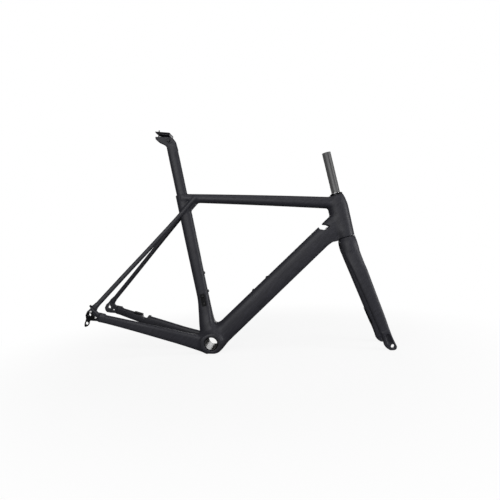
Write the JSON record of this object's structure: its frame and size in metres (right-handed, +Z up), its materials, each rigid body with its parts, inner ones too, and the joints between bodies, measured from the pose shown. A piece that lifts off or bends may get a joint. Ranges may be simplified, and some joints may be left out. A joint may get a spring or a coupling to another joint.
{
  "type": "bicycle frame",
  "caption": "Road bicycle frameset for disc brakes: carbon frame with deep down tube, straight-bladed fork on headset bearings, and an oval setback seatpost with a rail clamp.",
  "frame": {"origin": "centre of the bottom bracket shell", "axes": "+X forward with both axles at one height, +Y to the rider's left, +Z up"},
  "size_m": [1.0186, 0.1736, 0.736],
  "materials": {
    "matt_carbon": "matt clear coat over carbon fibre",
    "raw_carbon": "sanded bare carbon fibre",
    "black_alloy": "black anodised",
    "bearing_steel": "ground",
    "bolt_steel": "black oxide"
  },
  "bodies": {
    "frame": {"head_tube": "matt_carbon", "top_tube": "matt_carbon", "down_tube": "matt_carbon", "seat_tube": "matt_carbon", "bottom_bracket_shell": "matt_carbon", "chainstay_right": "matt_carbon", "chainstay_left": "matt_carbon", "seatstay_right": "matt_carbon", "seatstay_left": "matt_carbon", "dropout_right": "black_alloy", "dropout_left": "black_alloy", "derailleur_hanger": "black_alloy", "hanger_bolt": "bolt_steel", "cable_stop": "black_alloy", "rear_brake_mount": "black_alloy", "front_derailleur_mount": "black_alloy", "derailleur_mount_bolt_upper": "bolt_steel", "derailleur_mount_bolt_lower": "bolt_steel", "down_tube_bolt_upper": "bolt_steel", "down_tube_bolt_lower": "bolt_steel", "seat_tube_bolt_upper": "bolt_steel", "seat_tube_bolt_lower": "bolt_steel", "seatpost_wedge": "black_alloy", "seatpost_wedge_bolt": "bolt_steel", "upper_outer_race": "bearing_steel", "lower_outer_race": "bearing_steel"},
    "fork": {"steerer_tube": "raw_carbon", "fork_crown": "matt_carbon", "fork_blade_right": "matt_carbon", "fork_blade_left": "matt_carbon", "fork_dropout_right": "black_alloy", "fork_dropout_left": "black_alloy", "front_brake_mount": "black_alloy", "crown_race": "bearing_steel", "compression_ring": "bearing_steel", "upper_inner_race": "bearing_steel", "lower_inner_race": "bearing_steel"},
    "seatpost": {"seatpost": "matt_carbon", "tilt_bolt": "bolt_steel"},
    "saddle_clamp": {"clamp_barrel": "black_alloy", "rail_cradle": "black_alloy", "rail_clamp_plate": "black_alloy", "front_clamp_bolt": "bolt_steel"},
    "upper_cage": {"upper_ball_cage": "bearing_steel"},
    "lower_cage": {"lower_ball_cage": "bearing_steel"}
  },
  "joints": [
    {"name": "steering", "type": "hinge", "parent": "frame", "child": "fork", "pos_m": [0.4152, 0, 0.39832], "axis": [-0.3256, 0, 0.9455], "range_deg": [-70, 70]},
    {"name": "seatpost_slide", "type": "slide", "parent": "frame", "child": "seatpost", "axis": [-0.2999, 0, 0.954], "range_m": [-0.11, 0.04]},
    {"name": "saddle_tilt", "type": "hinge", "parent": "seatpost", "child": "saddle_clamp", "pos_m": [-0.21558, 0, 0.66915], "axis": [0, 1, 0], "range_deg": [-5, 5]},
    {"name": "upper_cage_roll", "type": "hinge", "parent": "frame", "child": "upper_cage", "pos_m": [0.36865, 0, 0.53353], "axis": [-0.3256, 0, 0.9455], "range_deg": [-33, 33]},
    {"name": "lower_cage_roll", "type": "hinge", "parent": "frame", "child": "lower_cage", "pos_m": [0.4152, 0, 0.39832], "axis": [-0.3256, 0, 0.9455], "range_deg": [-33, 33]}
  ],
  "couplings": [
    {"joint": "upper_cage_roll", "follows": "steering", "ratio": 0.45},
    {"joint": "lower_cage_roll", "follows": "steering", "ratio": 0.45}
  ]
}
